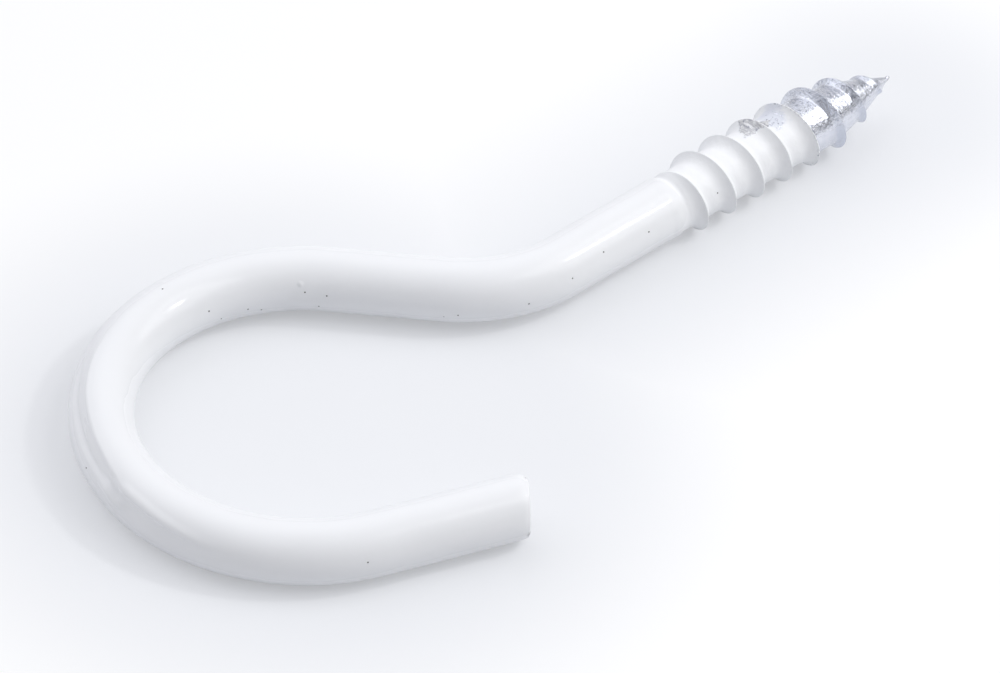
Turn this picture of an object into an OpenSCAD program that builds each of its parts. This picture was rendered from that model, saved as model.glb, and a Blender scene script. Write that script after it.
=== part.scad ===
// Screw hook: one piece of steel wire, rolled to a wood-screw thread at one end,
// bent into an open hook at the other and coated. It lies on its side.
// +X runs along the screw towards its point, +Z is up and the table is at Z = 0.

/* [Hook] */
// Diameter of the coated wire
wire_d = 3.8; // [3.2:0.1:4.2]
// Inside diameter of the round bowl
bowl_d = 19.4; // [18:0.2:24]
// Angle that the wire turns round the bowl
bowl_sweep = 208; // [196:1:216]
// Distance from the screw's axis to the middle of the bowl
bowl_offset = 0.2; // [-0.5:0.1:0.5]
// Angle that the neck turns away from the screw's axis
neck_angle = 48; // [44:1:54]
// Bend radius of the neck, at the middle of the wire
neck_r = 9.1; // [8:0.1:11]
// Straight stretch from the bowl to the cut end
end_len = 8.9; // [6:0.1:10]
// Slant of the sheared end away from a square cut
end_slant = 12; // [4:1:16]
// Bevel round the cut end
end_bevel = 0.25; // [0.1:0.05:0.4]

/* [Screw] */
// Plain shank from the neck to the shoulder
shank_len = 8.3; // [6:0.1:14]
// Rounding of the shoulder where the shank ends
shoulder_r = 0.4; // [0.3:0.05:0.5]
// Threaded length from the shoulder to the point
thread_len = 18.7; // [16:0.1:26]
// Diameter over the crests of the thread
thread_d = 4.6; // [4.4:0.05:5]
// Diameter of the core between the crests
core_d = 3.6; // [3.2:0.05:3.7]
// Distance from one crest to the next
pitch = 2.3; // [1.9:0.1:2.8]
// Width of the crest
crest_w = 0.12; // [0.08:0.02:0.2]
// Width of the long hollow flank, on the shank side of a crest
shank_flank = 1.1; // [0.7:0.05:1.2]
// Width of the short hollow flank, on the point side of a crest
point_flank = 0.45; // [0.3:0.05:0.6]
// Part of a turn in which the thread rises out of the core
run_in = 0.3; // [0.2:0.05:1]
// Length of the tapered gimlet point
point_len = 6.5; // [5:0.1:9]

/* [Hidden] */

$fn = 64;
wire_r = wire_d / 2;
thread_r = thread_d / 2;
core_r = core_d / 2;

// The bends are a hair thinner than the straight stretches, which overlap their ends.
hair = 0.01;
overlap = 0.2;
bend_wire_r = wire_r - hair;

// The centre line lies in one plane: shank, neck bend, lead, bowl bend, end stretch.
// The shank starts at the neck, at X = 0 on the screw's axis.
bowl_r = bowl_d / 2 + wire_r;
lead_len = (bowl_offset - neck_r * (1 - cos(neck_angle)) + bowl_r * cos(neck_angle))
    / sin(neck_angle);
lead_dir = 180 - neck_angle;
lead_start = neck_r * [-sin(neck_angle), 1 - cos(neck_angle)];
bowl_start = lead_start + lead_len * heading(lead_dir);
bowl_mid = bowl_start + bowl_r * heading(lead_dir + 90);
end_dir = lead_dir + bowl_sweep;
end_start = bowl_mid + bowl_r * heading(end_dir - 90);

// Thread surface: columns round the axis, and rows that follow the helix. The rows run
// from a crest down its point flank, and up the shank flank of the next crest.
columns = 36;
down_rows = 4;
up_rows = 6;
down_hollow = 1.4;
up_hollow = 2.2;
taper_power = 1.6;
buried = 1;
least_step = 0.05;
squeeze = min(1, (pitch - crest_w - least_step) / (shank_flank + point_flank));
down_w = point_flank * squeeze;
up_w = shank_flank * squeeze;
row_places = concat(
    [for (k = [0:down_rows]) (crest_w / 2 + down_w * k / down_rows) / pitch],
    [for (k = [up_rows:-1:0]) 1 - (crest_w / 2 + up_w * k / up_rows) / pitch]
);
rows = len(row_places);
first_turn = -1 - ceil(buried / pitch);
turns = ceil(thread_len / pitch) + 1 - first_turn;

// Lying on a table, the back of the bowl and the first full crest touch it.
// The crest starts on the +Y side and faces the table three quarters of a turn on.
down_turn = 0.75;
rest_crest = shank_len + down_turn * pitch;
rest_tilt = asin((thread_r - bend_wire_r) / (rest_crest - bowl_mid.x + bowl_r));
lift = bowl_r * sin(rest_tilt) + bend_wire_r - bowl_mid.x * sin(rest_tilt);
tip_x = shank_len + thread_len;
outer_len = end_len - wire_r * tan(end_slant) - end_bevel;
low_x = (bowl_mid.x - bowl_r) * cos(rest_tilt) - bend_wire_r;
high_x = tip_x * cos(rest_tilt);
low_y = end_start.y + outer_len * sin(end_dir) - wire_r * cos(end_dir);
high_y = bowl_mid.y + bowl_r + bend_wire_r;

function heading(a) = [cos(a), sin(a)];
function smooth(t) = t <= 0 ? 0 : t >= 1 ? 1 : t * t * (3 - 2 * t);

// Share of the full radius that the gimlet point leaves at a place along the axis
function point_share(x) = 1 - pow(1 - min((tip_x - x) / point_len, 1), taper_power);

// Height of a row over the core, 1 on the crest and 0 at the foot of a hollow flank
function ridge(j) = let (k = j % rows)
    k <= down_rows ? pow(1 - k / down_rows, down_hollow)
        : pow((k - down_rows - 1) / up_rows, up_hollow);

function row_turn(j) = first_turn + floor(j / rows);
function row_crest(j) = row_turn(j) + (j % rows > down_rows ? 1 : 0);
function row_place(j) = row_places[j % rows];
function thread_x(i, j) = shank_len + pitch * (i / columns + row_turn(j) + row_place(j));

function thread_point(i, j) =
    let (
        x = thread_x(i, j),
        turn = i / columns + row_crest(j),
        height = (thread_r - core_r) * ridge(j) * smooth(turn / run_in),
        r = point_share(x) * (core_r + height),
        a = 360 * i / columns
    )
    [x, r * cos(a), r * sin(a)];

// The wire, bent in one plane, with a slanted and bevelled end
module bent_wire() {
    rotate([0, 90, 0]) shank();
    translate([0, neck_r, 0]) rotate(270 - neck_angle) bend(neck_r, neck_angle);
    translate(lead_start) rotate(lead_dir) straight(lead_len);
    translate(bowl_mid) rotate(lead_dir - 90) bend(bowl_r, bowl_sweep);
    translate(end_start) rotate(end_dir) cut_end();
}

// Shank with its rounded shoulder, drawn along Z
module shank() {
    rotate_extrude() {
        translate([0, -overlap]) square([wire_r - shoulder_r, shank_len + overlap]);
        translate([0, -overlap]) square([wire_r, shank_len + overlap - shoulder_r]);
        translate([wire_r - shoulder_r, shank_len - shoulder_r]) intersection() {
            circle(shoulder_r);
            square(shoulder_r);
        }
    }
}

module bend(r, angle) {
    rotate_extrude(angle = angle) translate([r, 0]) circle(bend_wire_r);
}

module straight(len) {
    translate([-overlap, 0, 0]) rotate([0, 90, 0]) cylinder(r = wire_r, h = len + 2 * overlap);
}

// End stretch: a slanted shear cut, longer on the bowl's side, with a bevelled rim
module cut_end() {
    cone_h = end_len + wire_d;
    rim_r = wire_r / cos(end_slant) - end_bevel;
    intersection() {
        straight(end_len + wire_d);
        translate([end_len, 0, 0]) rotate([0, -90, -end_slant])
            cylinder(r1 = rim_r, r2 = rim_r + cone_h, h = cone_h);
    }
}

// Wood-screw thread with hollow flanks on a core, run out to a gimlet point.
// Column 0 meets the last column one turn further on.
module thread() {
    count = rows * turns;
    start = columns * count;
    tip = start + 1;
    points = concat(
        [for (i = [0:columns - 1], j = [0:count - 1]) thread_point(i, j)],
        [[shank_len - buried, 0, 0], [tip_x, 0, 0]]
    );
    function place(i, j) =
        let (x = thread_x(i, j), wrap = i == columns ? rows : 0)
        x < shank_len - buried ? start : x > tip_x - least_step ? tip
            : (i % columns) * count + j + wrap;
    quads = [for (i = [0:columns - 1], j = [0:count - rows - 2])
        [place(i, j), place(i, j + 1), place(i + 1, j + 1), place(i + 1, j)]];
    faces = [for (q = quads, f = [[q[0], q[1], q[2]], [q[0], q[2], q[3]]])
        if (f[0] != f[1] && f[1] != f[2] && f[2] != f[0]) f];
    polyhedron(points, faces);
}

module screw_hook() {
    color([0.93, 0.94, 0.96])
        translate([-(low_x + high_x) / 2, -(low_y + high_y) / 2, lift])
            rotate([0, -rest_tilt, 0]) {
                bent_wire();
                thread();
            }
}

screw_hook();
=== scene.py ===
import math

import bmesh
import bpy
import numpy as np
from mathutils import Matrix, Vector


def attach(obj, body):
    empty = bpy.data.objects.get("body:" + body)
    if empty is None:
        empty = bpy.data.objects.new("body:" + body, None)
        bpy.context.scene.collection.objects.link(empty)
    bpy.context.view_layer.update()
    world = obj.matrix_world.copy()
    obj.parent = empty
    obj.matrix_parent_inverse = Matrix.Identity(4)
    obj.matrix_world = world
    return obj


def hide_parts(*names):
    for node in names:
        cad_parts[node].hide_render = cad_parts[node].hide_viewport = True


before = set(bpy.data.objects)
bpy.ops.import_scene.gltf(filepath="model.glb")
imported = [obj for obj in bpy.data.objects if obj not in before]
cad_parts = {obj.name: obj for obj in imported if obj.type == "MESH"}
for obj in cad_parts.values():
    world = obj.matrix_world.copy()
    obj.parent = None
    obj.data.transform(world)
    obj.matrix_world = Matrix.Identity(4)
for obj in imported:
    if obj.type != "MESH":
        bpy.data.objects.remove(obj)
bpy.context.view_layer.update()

# Lengths are in millimetres until the mesh is made. The frame here starts where the neck
# begins, with X along the screw; part.scad has the same frame, and the same values as these.
MM = 0.001
TAU = 2 * math.pi
SHANK_R = 1.9
WIRE_R = 1.89
BOWL_R = 11.6
BOWL_SWEEP = math.radians(208)
BOWL_OFFSET = 0.2
NECK_ANGLE = math.radians(48)
NECK_R = 9.1
END_LEN = 8.9
END_SLANT = math.radians(12)
END_BEVEL = 0.25
SHANK_LEN = 8.3
SHOULDER_R = 0.4
THREAD_LEN = 18.7
CREST_R = 2.3
CORE_R = 1.8
PITCH = 2.3
RUN_IN = 0.3
POINT_LEN = 6.5
POINT_POWER = 1.6
TIP_X = SHANK_LEN + THREAD_LEN

# Points round the wire. Angle 0 is on the outside of the bowl, and a quarter turn on is up.
# Signed has the same angles in degrees, from -180 to 180.
COLUMNS = 120
around = np.arange(COLUMNS) * TAU / COLUMNS
signed = (np.degrees(around) + 180) % 360 - 180


def smooth(t):
    """0 up to 0 and 1 from 1 on, smooth between."""
    t = np.clip(t, 0, 1)
    return t * t * (3 - 2 * t)


def bump(x, middle, width):
    """1 at the middle, falling smoothly to 0 at a distance of width."""
    return smooth(1 - np.abs(x - middle) / width)


def blend(share, a, b):
    """a at share 0 and b at share 1."""
    return a + (b - a) * share


# ---------------------------------------------------------------- centre line
def heading(a):
    return np.array([math.cos(a), math.sin(a)])


LEAD_DIR = math.pi - NECK_ANGLE
END_DIR = LEAD_DIR + BOWL_SWEEP
rise = BOWL_OFFSET - NECK_R * (1 - math.cos(NECK_ANGLE)) + BOWL_R * math.cos(NECK_ANGLE)
LEAD_LEN = rise / math.sin(NECK_ANGLE)
LEAD_START = NECK_R * np.array([-math.sin(NECK_ANGLE), 1 - math.cos(NECK_ANGLE)])
BOWL_START = LEAD_START + LEAD_LEN * heading(LEAD_DIR)
BOWL_MID = BOWL_START + BOWL_R * heading(LEAD_DIR + math.pi / 2)
END_START = BOWL_MID + BOWL_R * heading(END_DIR - math.pi / 2)
NECK_AT = SHANK_LEN
LEAD_AT = NECK_AT + NECK_R * NECK_ANGLE
BOWL_AT = LEAD_AT + LEAD_LEN
END_AT = BOWL_AT + BOWL_R * BOWL_SWEEP


def centre(s):
    """Point and heading of the centre line, s mm from the shoulder towards the cut end."""
    if s < NECK_AT:
        return np.array([SHANK_LEN - s, 0.0]), math.pi
    if s < LEAD_AT:
        h = math.pi - (s - NECK_AT) / NECK_R
        return np.array([0, NECK_R]) - NECK_R * np.array([math.sin(h), -math.cos(h)]), h
    if s < BOWL_AT:
        return LEAD_START + (s - LEAD_AT) * heading(LEAD_DIR), LEAD_DIR
    if s < END_AT:
        h = LEAD_DIR + (s - BOWL_AT) / BOWL_R
        return BOWL_MID + BOWL_R * np.array([math.sin(h), -math.cos(h)]), h
    return END_START + (s - END_AT) * heading(END_DIR), END_DIR


# ---------------------------------------------------------------- the coated wire
# The coat ran down the outside of the bowl and dried with a thick edge. This is that edge,
# in degrees round the wire, at places in degrees round the bowl. All angles of the run are
# in degrees.
RUN_PLACES = [116, 138, 151, 163, 172, 176, 184, 193, 206]
RUN_EDGES = [64, 60, 61, 58, 50, 41, 38, 31, 22]
RUN_FIRST, RUN_FADE_IN = 112, 26
RUN_LAST, RUN_FADE_OUT = 212, 22
# The edge has a notch. Before it there is a groove below a faint lip: depths at degrees
# below the edge, down to the outer bead.
NOTCH, NOTCH_WIDTH = 176, 3
GROOVE_PLACES = [0, 4, 23, 33, 45, 70]
GROOVE_DEPTHS = [0, 0.10, 0.28, 0.02, -0.02, 0]
GROOVE_BLUR = (-2, -1, 0, 1, 2)
GROOVE_LIP, GROOVE_LIP_WIDTH = 0.012, 7
# After it the coat sags below a thick lip.
SAG_DEPTH, SAG_START, SAG_FADE, SAG_FADE_WIDTH = 0.15, 5, 14, 45
SAG_LIP, SAG_LIP_WIDTH = 0.08, 16
LIP_ABOVE = 5
# A tongue of coat lies in the groove, just before the notch.
TONGUE = 0.28
TONGUE_PLACE, TONGUE_LENGTH = NOTCH - 3, 9
TONGUE_BELOW, TONGUE_WIDTH = 25, 14
# The whole wire is uneven by this much, in waves along it and round it.
WAVE = 0.010
WAVES_ROUND, WAVE_TWIST, WAVE_ALONG = 3, 0.21, 0.9


def run_relief(s):
    """Height of the run of coat over the plain wire, all round it at s."""
    place = math.degrees((s - BOWL_AT) / BOWL_R + math.pi / 2 - NECK_ANGLE)
    below = np.interp(place, RUN_PLACES, RUN_EDGES) - signed
    strength = (smooth((place - RUN_FIRST) / RUN_FADE_IN)
                * smooth((RUN_LAST - place) / RUN_FADE_OUT))
    after = smooth((place - NOTCH + 1) / NOTCH_WIDTH)
    groove = np.mean([np.interp(below + k, GROOVE_PLACES, GROOVE_DEPTHS)
                      for k in GROOVE_BLUR], axis=0)
    sag = smooth(below / SAG_START) * (1 - smooth((below - SAG_FADE) / SAG_FADE_WIDTH))
    tongue = (TONGUE * bump(place, TONGUE_PLACE, TONGUE_LENGTH)
              * bump(below, TONGUE_BELOW, TONGUE_WIDTH))
    lip = blend(after, GROOVE_LIP * bump(below, -LIP_ABOVE, GROOVE_LIP_WIDTH),
                SAG_LIP * bump(below, -LIP_ABOVE, SAG_LIP_WIDTH))
    return strength * (lip + tongue - blend(after, groove, SAG_DEPTH * sag))


def wire_radius(s):
    """Radius of the coated wire, all round it at s."""
    wave = np.sin(WAVES_ROUND * around + WAVE_TWIST * s) * np.sin(WAVE_ALONG * s) - 1
    return WIRE_R + WAVE * wave + run_relief(s)


def ring(s, r, along=0.0):
    """Points round the centre line at s, r out from it and moved along it."""
    c, h = centre(s)
    out = np.array([math.sin(h), -math.cos(h)])
    xy = c + np.outer(np.cos(around) * r, out)
    xy = xy + np.outer(np.broadcast_to(along, COLUMNS), heading(h))
    return np.column_stack([xy, np.sin(around) * r])


# Rings stand close together where the coat ran, and further apart elsewhere. They start at
# RING_X on the shank, where the surface of the screw takes over.
RING_X = 7.2
STEP, FINE_STEP = 0.3, 0.16
FINE_FROM, FINE_TO = BOWL_AT + 14, BOWL_AT + 35
LAST_LEN = 3
stations = list(np.arange(SHANK_LEN - RING_X, FINE_FROM, STEP))
stations += list(np.arange(stations[-1] + FINE_STEP, FINE_TO, FINE_STEP))
stations += list(np.arange(stations[-1] + STEP, END_AT + END_LEN - LAST_LEN, STEP))
rings = [ring(s, wire_radius(s)) for s in stations]

# The last stretch leans over to the slant of the cut, which is steeper here than in part.scad
# and lies REACH further out. It turns in over a rounded rim to the shallow sheared face. The
# rim is pinched a little all round, and its upper corner on the inner side is rolled over.
CUT_SLANT = math.radians(17)
REACH = 0.08
PINCH = 0.06
ROLL_OVER, ROLL_AT, ROLL_WIDTH, ROLL_POWER = 0.32, 131, 75, 12
LAST_RINGS, LAST_CROWDING = 16, 0.6
RIM_ROUND, RIM_RINGS = 0.12, 7
FACE_RINGS = (0.88, 0.8, 0.72, 0.62, 0.5, 0.36, 0.2, 0.08)
DISH, FACE_WAVE = 0.05, 0.012
last = stations[-1]
rim = END_LEN + REACH - (last - END_AT)
slant = -np.cos(around) * WIRE_R * math.tan(CUT_SLANT)
rolled = PINCH + ROLL_OVER * bump(signed, ROLL_AT, ROLL_WIDTH)
for q in np.linspace(0, 1, LAST_RINGS + 1)[1:] ** LAST_CROWDING:
    r = wire_radius(last) - rolled * q ** ROLL_POWER
    rings.append(ring(last, r, (rim - RIM_ROUND) * q + slant * q ** 2))
for q in np.linspace(0, math.pi / 2, RIM_RINGS + 1)[1:]:
    r = wire_radius(last) - rolled - RIM_ROUND * (1 - math.cos(q))
    rings.append(ring(last, r, rim - RIM_ROUND * (1 - math.sin(q)) + slant * r / WIRE_R))
for k in FACE_RINGS:
    dish = -DISH * (1 - k) + FACE_WAVE * np.sin(5 * around + 9 * k)
    rings.append(ring(last, (WIRE_R - rolled) * k, rim + slant * k + dish))
cap_point = np.append(centre(last)[0] + heading(END_DIR) * (rim - DISH), 0.0)

# ---------------------------------------------------------------- the screw
# Rows follow the helix. Those that would lie under the shank or past the point are drawn
# together there, and the doubled points are merged. The coat fills the corner on the shank
# side of each crest with a wide hollow, and pulls the crests a little towards the point.
# Up is the flank on the shank side, down the one on the point side.
CREST_SHIFT = 0.2
CREST_W = 0.05
COAT_UP, COAT_UP_POWER = 0.95, 2.6
BARE_UP, BARE_UP_POWER = 0.42, 1.25
COAT_DOWN, COAT_DOWN_POWER = 0.50, 1.5
BARE_DOWN, BARE_DOWN_POWER = 0.32, 1.2
UP_ROWS, UP_CROWDING = 16, 1.6
DOWN_ROWS, DOWN_CROWDING = 8, 1.2
CORE_ROW = 0.74
up_rows = COAT_UP * (np.arange(UP_ROWS + 1) / UP_ROWS) ** UP_CROWDING
down_rows = COAT_DOWN * (np.arange(DOWN_ROWS + 1) / DOWN_ROWS) ** DOWN_CROWDING
places = np.concatenate([[0.0], CREST_W / 2 + down_rows, [CORE_ROW],
                         PITCH - CREST_W / 2 - up_rows[::-1]]) / PITCH
ROWS = len(places)

# The coat ends on the fifth crest on the side that the photo shows, whose middle is SEEN
# round the screw, and leaves the crest behind, more than FOLLOW from there.
TORN_TURN = 4
SEEN = math.radians(129)
TORN_X = SHANK_LEN + CREST_SHIFT + PITCH * (TORN_TURN + SEEN / TAU)
FOLLOW = 1.9
COAT_THINS = 0.3

# The thread starts a little late at the shoulder, where the coat has a slight fold: height,
# place from the shoulder and width of its two waves. The point ends in a small ball.
LATE = 0.06
SHOULDER_SHIFT = 0.1
FOLD = [(0.03, -0.1, 0.25), (-0.05, 0.2, 0.3)]
TIP_R = 0.14


def coat_end(phi):
    """Where the coat ends along the screw, at the angle phi round it."""
    off = (phi - SEEN + math.pi) % TAU - math.pi
    leave = smooth((np.abs(off) - FOLLOW) / (math.pi - FOLLOW))
    return TORN_X + PITCH / TAU * off * (1 - leave)


def hollow(distance, width, power):
    """Height of a hollow flank, 1 on the crest and 0 at width from it."""
    return np.power(np.clip(1 - (distance - CREST_W / 2) / width, 0, 1), power)


def thread_radius(x, turn, place, phi):
    """Radius over the thread; place is 0 on a crest and 1 on the next one."""
    coated = smooth((coat_end(phi) - x) / COAT_THINS + 0.5)
    down = blend(coated, hollow(place * PITCH, BARE_DOWN, BARE_DOWN_POWER),
                 hollow(place * PITCH, COAT_DOWN, COAT_DOWN_POWER))
    left = (1 - place) * PITCH
    up = blend(coated, hollow(left, BARE_UP, BARE_UP_POWER),
               hollow(left, COAT_UP, COAT_UP_POWER))
    down = down * smooth((turn + phi / TAU - LATE) / RUN_IN)
    up = up * smooth((turn + 1 + phi / TAU - LATE) / RUN_IN)
    body = CORE_R + (CREST_R - CORE_R) * np.maximum(down, up)
    share = 1 - np.power(np.clip(1 - (TIP_X - x) / POINT_LEN, 0, 1), POINT_POWER)
    shoulder = smooth((SHANK_LEN + SHOULDER_SHIFT - x) / SHOULDER_R)
    tip = np.sqrt(np.clip(TIP_R ** 2 - (x - TIP_X + TIP_R) ** 2, 0, None))
    body = np.where(body < SHANK_R, body + (SHANK_R - body) * shoulder, body)
    fold = sum(high * bump(x, SHANK_LEN + at, width) for high, at, width in FOLD)
    return np.maximum(share * body + fold, tip)


FIRST = -2
RING_BLEND = 0.5
turns = math.ceil(THREAD_LEN / PITCH) + 2 - FIRST
count = ROWS * turns
grid = np.empty((COLUMNS, count, 3))
shank = wire_radius(SHANK_LEN - RING_X)
for j in range(count):
    turn, place = FIRST + j // ROWS, places[j % ROWS]
    x = SHANK_LEN + CREST_SHIFT + PITCH * (around / TAU + turn + place)
    r = np.where(x > TIP_X, 0, thread_radius(x, turn, place, around))
    r = blend(smooth((x - RING_X) / RING_BLEND), shank, r)
    x = np.clip(x, RING_X, TIP_X)
    grid[:, j] = np.column_stack([x, r * np.cos(around), r * np.sin(around)])

# ---------------------------------------------------------------- one mesh
# Quads between the rings, a fan over the end, then the surface of the screw, whose rows
# move on by one turn where the columns close.
faces = []
after = (np.arange(COLUMNS) + 1) % COLUMNS
for a in range(len(rings) - 1):
    low, high = a * COLUMNS, (a + 1) * COLUMNS
    faces += [(low + i, low + k, high + k, high + i) for i, k in enumerate(after)]
cap = len(rings) * COLUMNS
faces += [(cap - COLUMNS + i, cap - COLUMNS + k, cap) for i, k in enumerate(after)]
for i, k in enumerate(after):
    wrap = ROWS if k == 0 else 0
    for j in range(count - ROWS - 1):
        a, b = cap + 1 + i * count + j, cap + 1 + k * count + j + wrap
        faces.append((a, a + 1, b + 1, b))
points = np.vstack(rings + [cap_point[None], grid.reshape(-1, 3)])

# At rest the bowl and the first full crest touch the table, and the origin is in the
# middle of the CAD box. The crest faces the table DOWN_TURN of a turn on.
DOWN_TURN = 0.75
between = SHANK_LEN + DOWN_TURN * PITCH - BOWL_MID[0] + BOWL_R
TILT = math.asin((CREST_R - WIRE_R) / between)
turned = np.array([[math.cos(TILT), 0, -math.sin(TILT)], [0, 1, 0],
                   [math.sin(TILT), 0, math.cos(TILT)]])
low_x = (BOWL_MID[0] - BOWL_R) * math.cos(TILT) - WIRE_R
high_x = TIP_X * math.cos(TILT)
outer_len = END_LEN - SHANK_R * math.tan(END_SLANT) - END_BEVEL
low_y = END_START[1] + outer_len * math.sin(END_DIR) - SHANK_R * math.cos(END_DIR)
high_y = BOWL_MID[1] + BOWL_R + WIRE_R
lift = (BOWL_R - BOWL_MID[0]) * math.sin(TILT) + WIRE_R
shift = np.array([-(low_x + high_x) / 2, -(low_y + high_y) / 2, lift])


def placed(p):
    """Points of the flat hook, in millimetres, at their place in the row in metres."""
    return (np.asarray(p, float) @ turned.T + shift) * MM


WELD = 2e-7
mesh = bpy.data.meshes.new("hook_surface")
mesh.from_pydata(placed(points).tolist(), [], faces)
work = bmesh.new()
work.from_mesh(mesh)
bmesh.ops.remove_doubles(work, verts=work.verts, dist=WELD)
bmesh.ops.dissolve_degenerate(work, edges=work.edges, dist=WELD / 2)
loose = [v for v in work.verts if not v.link_faces]
bmesh.ops.delete(work, geom=loose, context="VERTS")
bmesh.ops.recalc_face_normals(work, faces=work.faces)
for face in work.faces:
    face.smooth = True
work.to_mesh(mesh)
work.free()
hook = bpy.data.objects.new("hook_surface", mesh)
bpy.context.scene.collection.objects.link(hook)
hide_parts("screw_hook")
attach(hook, "root")


# ---------------------------------------------------------------- materials
class Graph:
    """Writes a node tree as formulas."""

    def __init__(self, tree):
        self.tree = tree

    def put(self, socket, value):
        if isinstance(value, bpy.types.NodeSocket):
            self.tree.links.new(value, socket)
        else:
            socket.default_value = value

    def coordinates(self, kind):
        return self.tree.nodes.new("ShaderNodeTexCoord").outputs[kind]

    def split(self, vector):
        node = self.tree.nodes.new("ShaderNodeSeparateXYZ")
        self.put(node.inputs[0], vector)
        return node.outputs

    def math(self, operation, *values):
        node = self.tree.nodes.new("ShaderNodeMath")
        node.operation = operation
        for socket, value in zip(node.inputs, values):
            self.put(socket, value)
        return node.outputs[0]

    def add(self, a, b):
        return self.math("ADD", a, b)

    def times(self, a, b):
        return self.math("MULTIPLY", a, b)

    def vector(self, operation, *values):
        node = self.tree.nodes.new("ShaderNodeVectorMath")
        node.operation = operation
        for socket, value in zip(node.inputs, values):
            self.put(socket, value)
        single = operation in ("DISTANCE", "DOT_PRODUCT")
        return node.outputs["Value" if single else "Vector"]

    def distance(self, a, b):
        """In millimetres, between places in metres."""
        return self.math("DIVIDE", self.vector("DISTANCE", a, b), MM)

    def noise(self, vector, size, detail, rough=0.5):
        """Noise of about 0 to 1 whose largest features are size millimetres."""
        node = self.tree.nodes.new("ShaderNodeTexNoise")
        self.put(node.inputs["Vector"], vector)
        node.inputs["Scale"].default_value = 1 / (size * MM)
        node.inputs["Detail"].default_value = detail
        node.inputs["Roughness"].default_value = rough
        return node.outputs["Fac"]

    def span(self, value, low, high):
        """0 at low and 1 at high, smooth between."""
        node = self.tree.nodes.new("ShaderNodeMapRange")
        node.interpolation_type = "SMOOTHSTEP"
        self.put(node.inputs["Value"], value)
        self.put(node.inputs["From Min"], low)
        self.put(node.inputs["From Max"], high)
        return node.outputs["Result"]

    def mix(self, factor, a, b):
        """Numbers from a to b."""
        return self.add(self.times(self.math("SUBTRACT", 1.0, factor), a),
                        self.times(factor, b))

    def colour(self, factor, a, b):
        node = self.tree.nodes.new("ShaderNodeMix")
        node.data_type = "RGBA"
        self.put(node.inputs["Factor"], factor)
        for key, value in (("A_Color", a), ("B_Color", b)):
            socket = next(s for s in node.inputs if s.identifier == key)
            self.put(socket, (*value, 1) if isinstance(value, tuple) else value)
        return next(s for s in node.outputs if s.identifier == "Result_Color")


def new_material(name):
    material = bpy.data.materials.new(name)
    material.use_nodes = True
    shader = material.node_tree.nodes["Principled BSDF"]
    return material, Graph(material.node_tree), shader


# Colours, linear
COAT_DARK, COAT_LIGHT = (0.868, 0.876, 0.890), (0.892, 0.899, 0.911)
THIN_COAT = (0.60, 0.635, 0.74)
ZINC_DARK, ZINC_LIGHT = (0.66, 0.69, 0.79), (0.94, 0.95, 0.985)
BRUSHED_DARK, BRUSHED_LIGHT = (0.50, 0.50, 0.51), (0.93, 0.93, 0.93)
# Painted reflection: the bluish colour put on the shank-side flanks of the bare crests.
PAINTED_FLANK_REFLECTION = (0.60, 0.645, 0.75)
# Painted reflection: the dark navy of the specks on the upper side of the bare zinc.
PAINTED_DARK_REFLECTION = (0.24, 0.26, 0.33)
TORN_COLOUR = (0.34, 0.35, 0.40)
NICK_COLOUR = (0.24, 0.25, 0.30)
PINHOLE_COLOUR = (0.17, 0.16, 0.16)
CHIP_COLOUR = (0.50, 0.50, 0.51)

# Places on the screw: mm along it, degrees round it, and mm out from its axis
BROWN_RUB = (15.85, 68, 2.1)
BLUE_RUB = (17.25, 84, 1.9)
THIN_PATCH = (17.35, 66, 2.2)
THREAD_PINHOLE = (10.93, 158, 1.8)
# Places on the wire: mm from the shoulder towards the cut end, and degrees round it
PINHOLES = [(3, 155), (6.5, 145), (9, 160), (11.5, 180), (15, 190), (22.5, 170), (24, 165),
            (27, 200), (28, 190), (30, 195), (31, 165), (33, 85), (47, 50), (47, 15), (63.5, 15)]
DROP = (24.3, 150)
# The chip is at the low corner of the cut end.
CHIP = (-16.40, -15.18, -0.62)

material, g, shader = new_material("coated_and_bare")
coords = g.coordinates("Object")
px, py, pz = (g.math("DIVIDE", part, MM)
              for part in g.split(g.vector("SUBTRACT", coords, tuple(placed([0, 0, 0])))))
pz = g.math("SUBTRACT", pz, g.times(px, math.sin(TILT)))
ragged = g.noise(coords, size=0.67, detail=4, rough=0.6)
ragged = g.times(g.math("SUBTRACT", ragged, 0.5), 1.6)


def on_thread(x, angle, r):
    """Where a place on the screw lies in the row."""
    a = math.radians(angle)
    return tuple(placed([x, r * math.cos(a), r * math.sin(a)]))


def on_wire(s, angle):
    """Where a place on the wire lies in the row."""
    c, h = centre(s)
    out = WIRE_R * math.cos(math.radians(angle))
    rise = WIRE_R * math.sin(math.radians(angle))
    return tuple(placed([c[0] + out * math.sin(h), c[1] - out * math.cos(h), rise]))


def patch(place, size, uneven, soft=0.05):
    """1 inside a ragged patch round a place."""
    far = g.add(g.distance(coords, place), g.times(ragged, uneven))
    return g.span(far, size + soft, size - soft)


# Bare metal: past a ragged edge on the fifth crest, and at two places rubbed through, the
# second one only in spots. Off is the angle round the screw from the side that was seen.
ahead = g.add(g.times(py, math.cos(SEEN)), g.times(pz, math.sin(SEEN)))
aside = g.math("SUBTRACT", g.times(pz, math.cos(SEEN)), g.times(py, math.sin(SEEN)))
off = g.math("ARCTAN2", aside, ahead)
follow = g.span(g.math("ABSOLUTE", off), math.pi, FOLLOW)
end_x = g.add(g.times(g.times(off, follow), PITCH / TAU), TORN_X)
past = g.math("SUBTRACT", px, end_x)
far_end = g.span(g.add(past, g.times(ragged, 0.25)), 0.0, 0.07)
brown_rub = patch(on_thread(*BROWN_RUB), size=1.0, uneven=1.2, soft=0.12)
blue_rub = patch(on_thread(*BLUE_RUB), size=0.80, uneven=1.4)
spots = g.span(g.noise(coords, size=0.30, detail=3, rough=0.6), 0.555, 0.61)
bare = g.math("MAXIMUM", far_end, g.math("MAXIMUM", brown_rub, g.times(blue_rub, spots)))
torn = g.times(g.times(far_end, g.math("SUBTRACT", 1.0, far_end)), 4.0)

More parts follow.
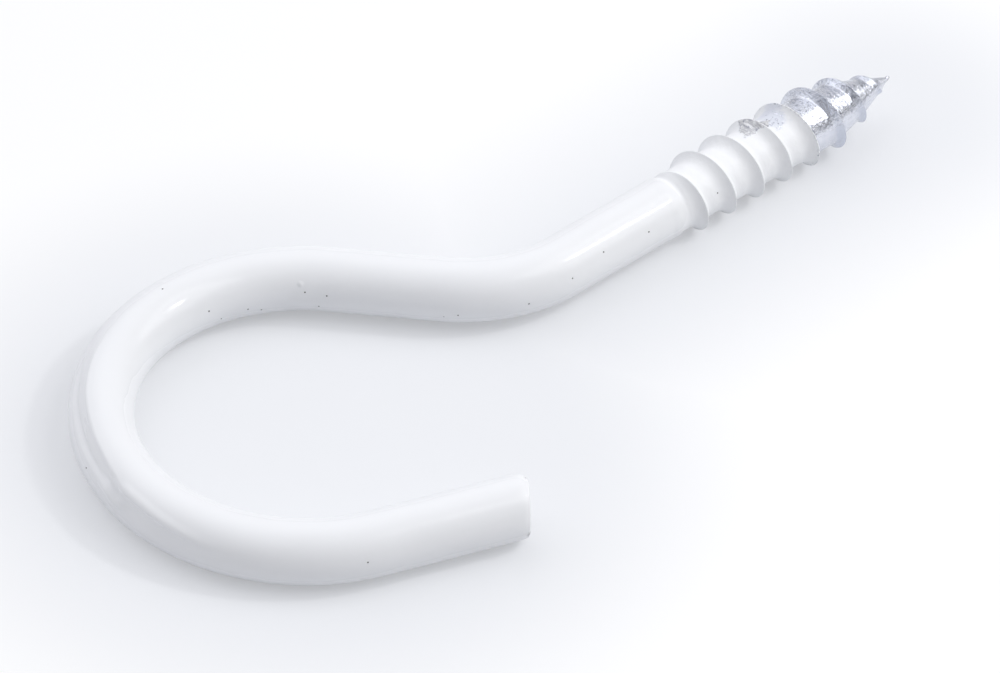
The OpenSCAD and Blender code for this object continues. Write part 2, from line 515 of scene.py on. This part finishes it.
# White coat, cloudy and faintly lumpy, and more so on the screw. It is rougher there, and
# wherever it is seen edge on.
cloud = g.noise(coords, size=3.8, detail=3)
peel = g.noise(coords, size=1.1, detail=2)
on_screw = g.span(px, SHANK_LEN - 0.5, SHANK_LEN + 1)
lumps = g.times(g.noise(coords, size=0.8, detail=3), g.add(g.times(on_screw, 0.050), 0.003))
coat = g.colour(cloud, COAT_DARK, COAT_LIGHT)
thin_coat = g.math(
    "MAXIMUM", patch(on_thread(*THIN_PATCH), size=0.85, uneven=0.6, soft=0.4),
    patch(on_thread(*BLUE_RUB), size=0.80, uneven=1.0, soft=0.25))
coat = g.colour(g.times(thin_coat, 0.6), coat, THIN_COAT)
edge_on = g.tree.nodes.new("ShaderNodeLayerWeight")
edge_on.inputs["Blend"].default_value = 0.15
coat_rough = g.add(g.times(g.noise(coords, size=1.4, detail=3), 0.07),
                   g.add(g.times(on_screw, 0.30), 0.045))
coat_rough = g.add(coat_rough, g.times(edge_on.outputs["Facing"], 0.9))

# Pinholes, about where the photo shows them. On the low side of the wire they are random:
# there the few cells whose middles happen to lie on the surface give one each.
CELL = 1.4
cells = g.tree.nodes.new("ShaderNodeTexVoronoi")
g.put(cells.inputs["Vector"], coords)
cells.inputs["Scale"].default_value = 1 / (CELL * MM)
pin = g.times(g.span(cells.outputs["Distance"], 0.045, 0.025), g.span(pz, -0.2, -0.5))
nearest = g.distance(coords, on_thread(*THREAD_PINHOLE))
for pinhole in PINHOLES:
    nearest = g.math("MINIMUM", nearest, g.distance(coords, on_wire(*pinhole)))
pin = g.math("MAXIMUM", pin, g.span(nearest, 0.065, 0.030))
chip = patch(tuple(placed(CHIP)), size=0.22, uneven=0.25, soft=0.14)

# Bare zinc: fine streaks round the screw, with dark specks painted on its upper side as a dark
# reflection, and a painted bluish reflection on the shank side of the crests, stronger low down.
# The first rub is brushed grey.
turned_by = g.times(g.add(off, SEEN), 1 / TAU)
pitches = g.times(g.math("SUBTRACT", px, SHANK_LEN + CREST_SHIFT), 1 / PITCH)
place = g.math("FRACT", g.math("SUBTRACT", pitches, turned_by))
flank = g.times(g.span(g.add(place, g.times(ragged, 0.06)), 0.80, 0.88), far_end)
squeezed = g.vector("MULTIPLY", coords, (8.0, 1.0, 1.0))
streak = g.noise(squeezed, size=1.0, detail=4, rough=0.65)
speck = g.noise(coords, size=0.22, detail=3, rough=0.65)
upper = g.span(off, 0.8, 0.3)
# Painted reflection: dark specks on the upper side of the bare zinc, away from the point, stand
# in for a dark reflection.
dark_reflection_specks = g.times(g.span(speck, 0.54, 0.66), g.times(upper, g.span(px, TIP_X - 0.6, TIP_X - 1.4)))
zinc = g.colour(streak, ZINC_DARK, ZINC_LIGHT)
brushed = g.colour(g.span(streak, 0.38, 0.60), BRUSHED_DARK, BRUSHED_LIGHT)
zinc = g.colour(g.times(brown_rub, 0.85), zinc, brushed)
# Painted reflection: a bluish colour on the shank side of each bare crest, stronger on the lower
# side.
zinc = g.colour(g.times(flank, g.mix(upper, 0.55, 0.25)), zinc, PAINTED_FLANK_REFLECTION)
zinc = g.colour(g.times(dark_reflection_specks, 0.6), zinc, PAINTED_DARK_REFLECTION)
zinc_rough = g.add(g.times(streak, 0.20), 0.10)

# Both together: the torn border is darker and has dark nicks along it.
colour = g.colour(bare, coat, zinc)
colour = g.colour(g.times(torn, 0.6), colour, TORN_COLOUR)
nicks = g.times(g.span(g.math("ABSOLUTE", past), 0.13, 0.05), g.span(speck, 0.55, 0.62))
colour = g.colour(g.times(nicks, 0.7), colour, NICK_COLOUR)
colour = g.colour(pin, colour, PINHOLE_COLOUR)
colour = g.colour(chip, colour, CHIP_COLOUR)
g.put(shader.inputs["Base Color"], colour)
metal = g.mix(flank, g.mix(upper, 0.65, 0.90), g.mix(upper, 0.60, 0.80))
metal = g.times(metal, g.mix(brown_rub, 1.0, 0.55))
g.put(shader.inputs["Metallic"], g.times(bare, metal))
shader.inputs["Specular IOR Level"].default_value = 0.25
g.put(shader.inputs["Roughness"], g.mix(bare, coat_rough, zinc_rough))

# Heights for the bump, in mm: the metal lies lower than the coat, pinholes and chip are
# pits, and a drop stands out.
COAT_THICK, PIT, DROP_HEIGHT, DROP_R = 0.03, 0.05, 0.05, 0.24
height = g.add(g.add(g.times(peel, 0.004), g.times(cloud, 0.010)), lumps)
rough_metal = g.add(g.times(streak, 0.045), g.times(speck, g.mix(upper, 0.015, 0.060)))
height = g.mix(bare, height, g.math("SUBTRACT", rough_metal, COAT_THICK))
drop = g.span(g.distance(coords, on_wire(*DROP)), DROP_R, 0.0)
height = g.math("SUBTRACT", height, g.times(g.math("MAXIMUM", pin, chip), PIT))
height = g.add(height, g.times(drop, DROP_HEIGHT))
bumps = g.tree.nodes.new("ShaderNodeBump")
bumps.inputs["Distance"].default_value = MM
g.put(bumps.inputs["Height"], height)
g.put(shader.inputs["Normal"], bumps.outputs[0])
mesh.materials.append(material)

# ---------------------------------------------------------------- floor
# Pale under the hook and white further out, as the plain backdrop of a packshot.
HALF_FLOOR = 0.6
FLOOR_NEAR, FLOOR_FAR = (0.815, 0.826, 0.850), (0.960, 0.960, 0.965)
PLAIN_NEAR, PLAIN_FAR = (0.865, 0.877, 0.905), (1.0, 1.0, 1.0)
PALE_TO, WHITE_FROM = 1.0, 15.0
floor_mesh = bpy.data.meshes.new("floor")
corners = [(x * HALF_FLOOR, y * HALF_FLOOR, 0) for x, y in ((-1, -1), (1, -1), (1, 1), (-1, 1))]
floor_mesh.from_pydata(corners, [], [(0, 1, 2, 3)])
floor = bpy.data.objects.new("floor", floor_mesh)
bpy.context.scene.collection.objects.link(floor)
floor_material, f, floor_shader = new_material("floor_white")
spot = f.coordinates("Object")
bowl_far = f.distance(spot, tuple(placed([*BOWL_MID, -lift])))
bowl_far = f.math("SUBTRACT", bowl_far, BOWL_R + WIRE_R)
fx, fy = f.split(f.vector("SUBTRACT", spot, tuple(placed([TIP_X / 2, 0, 0]))))[:2]
along = f.math("MAXIMUM", f.math("SUBTRACT", f.math("ABSOLUTE", fx), TIP_X / 2 * MM), 0.0)
screw_far = f.math("DIVIDE", f.math("SQRT", f.add(f.times(along, along), f.times(fy, fy))), MM)
away = f.math("MINIMUM", bowl_far, f.math("SUBTRACT", screw_far, SHANK_R))
away = f.span(away, PALE_TO, WHITE_FROM)
f.put(floor_shader.inputs["Base Color"], f.colour(away, FLOOR_NEAR, FLOOR_FAR))
floor_shader.inputs["Roughness"].default_value = 0.6
floor_shader.inputs["Specular IOR Level"].default_value = 0.2

# The photo's backdrop was whitened, so this share of what is seen of the floor is its plain
# colour. The rest is lit, and has the hook's shadow.
WHITENED = 0.43
glow = floor_material.node_tree.nodes.new("ShaderNodeEmission")
f.put(glow.inputs["Color"], f.colour(away, PLAIN_NEAR, PLAIN_FAR))
rays = floor_material.node_tree.nodes.new("ShaderNodeLightPath").outputs
seen = f.math("MAXIMUM", rays["Is Camera Ray"], f.math(
    "MAXIMUM", rays["Is Glossy Ray"], rays["Is Transmission Ray"]))
both = floor_material.node_tree.nodes.new("ShaderNodeMixShader")
f.put(both.inputs[0], f.times(seen, WHITENED))
f.put(both.inputs[1], floor_shader.outputs[0])
f.put(both.inputs[2], glow.outputs[0])
f.put(floor_material.node_tree.nodes["Material Output"].inputs["Surface"], both.outputs[0])
floor_mesh.materials.append(floor_material)

# ---------------------------------------------------------------- light
# A grey room with broad soft lights, each given by azimuth, elevation and strength. It is
# darker low down on one side, by a share of DARKER and up to the height of DARK_TOP. Patches
# of the sky run from an outer to an inner edge, as cosines from their middle.
SKY_COLOUR = (0.975, 0.984, 1.032, 1)
GREY = 0.27
SKY_LIGHTS = [(135, 45, 0.55), (90, 45, 0.60), (45, 40, 0.18), (300, 45, 0.08), (0, 90, 0.38)]
LIGHT_PATCH = (0.7, 0.97)
DARK_AZIMUTH, DARKER = -53, 0.8
DARK_PATCH, DARK_TOP = (0.45, 0.80), (0.46, 0.36)
# Two square lamps shine from the same side: a small one for the narrow highlight along the
# wire, and a soft one for the light. Name, size and power.
KEY_AZIMUTH, KEY_ELEVATION, KEY_DISTANCE = -40, 48, 0.5
LAMPS = [("key", 0.045, 0.40), ("soft_key", 0.40, 1.17)]
world = bpy.data.worlds.new("studio")
world.use_nodes = True
bpy.context.scene.world = world
w = Graph(world.node_tree)
view = w.coordinates("Generated")


def toward(azimuth, elevation):
    """Direction from the middle of the scene, for angles in degrees."""
    a, e = math.radians(azimuth), math.radians(elevation)
    return math.cos(a) * math.cos(e), math.sin(a) * math.cos(e), math.sin(e)


def from_side(azimuth, elevation, outer, inner):
    """1 in a round patch of the sky, falling smoothly to 0 round it."""
    facing = w.vector("DOT_PRODUCT", view, toward(azimuth, elevation))
    return w.span(facing, outer, inner)


dark = w.times(from_side(DARK_AZIMUTH, 0, *DARK_PATCH), w.span(w.split(view)[2], *DARK_TOP))
sky = w.times(w.math("SUBTRACT", 1.0, w.times(dark, DARKER)), GREY)
for azimuth, elevation, strength in SKY_LIGHTS:
    sky = w.add(sky, w.times(from_side(azimuth, elevation, *LIGHT_PATCH), strength))
background = world.node_tree.nodes["Background"]
background.inputs["Color"].default_value = SKY_COLOUR
w.put(background.inputs["Strength"], sky)

from_key = Vector(toward(KEY_AZIMUTH, KEY_ELEVATION))
for name, size, power in LAMPS:
    light = bpy.data.lights.new(name, "AREA")
    light.shape, light.size, light.energy = "SQUARE", size, power
    lamp = bpy.data.objects.new(name, light)
    lamp.location = from_key * KEY_DISTANCE
    lamp.rotation_mode = "QUATERNION"
    lamp.rotation_quaternion = (-from_key).to_track_quat("-Z", "Y")
    bpy.context.scene.collection.objects.link(lamp)

# ---------------------------------------------------------------- camera
# In metres, and the lens in millimetres. Azimuth 0 looks along +Y.
AZIMUTH, ELEVATION, ROLL = (math.radians(a) for a in (-44.16, 41.14, 2.81))
DISTANCE = 0.37658
TARGET = Vector((-0.003832, -0.001430, 0.002132))
LENS = 234.25
camera_data = bpy.data.cameras.new("camera")
camera_data.sensor_width, camera_data.lens = 36.0, LENS
camera_data.clip_start, camera_data.clip_end = 0.01, 10
camera = bpy.data.objects.new("camera", camera_data)
back = Vector((math.sin(AZIMUTH) * math.cos(ELEVATION), -math.cos(AZIMUTH) * math.cos(ELEVATION),
               math.sin(ELEVATION)))
right = Vector((0, 0, 1)).cross(back).normalized()
up = back.cross(right)
side = right * math.cos(ROLL) + up * math.sin(ROLL)
top = up * math.cos(ROLL) - right * math.sin(ROLL)
basis = Matrix((side, top, back)).transposed().to_4x4()
camera.matrix_world = Matrix.Translation(TARGET + back * DISTANCE) @ basis
bpy.context.scene.collection.objects.link(camera)
bpy.context.scene.camera = camera
bpy.context.scene.view_settings.view_transform = "Standard"
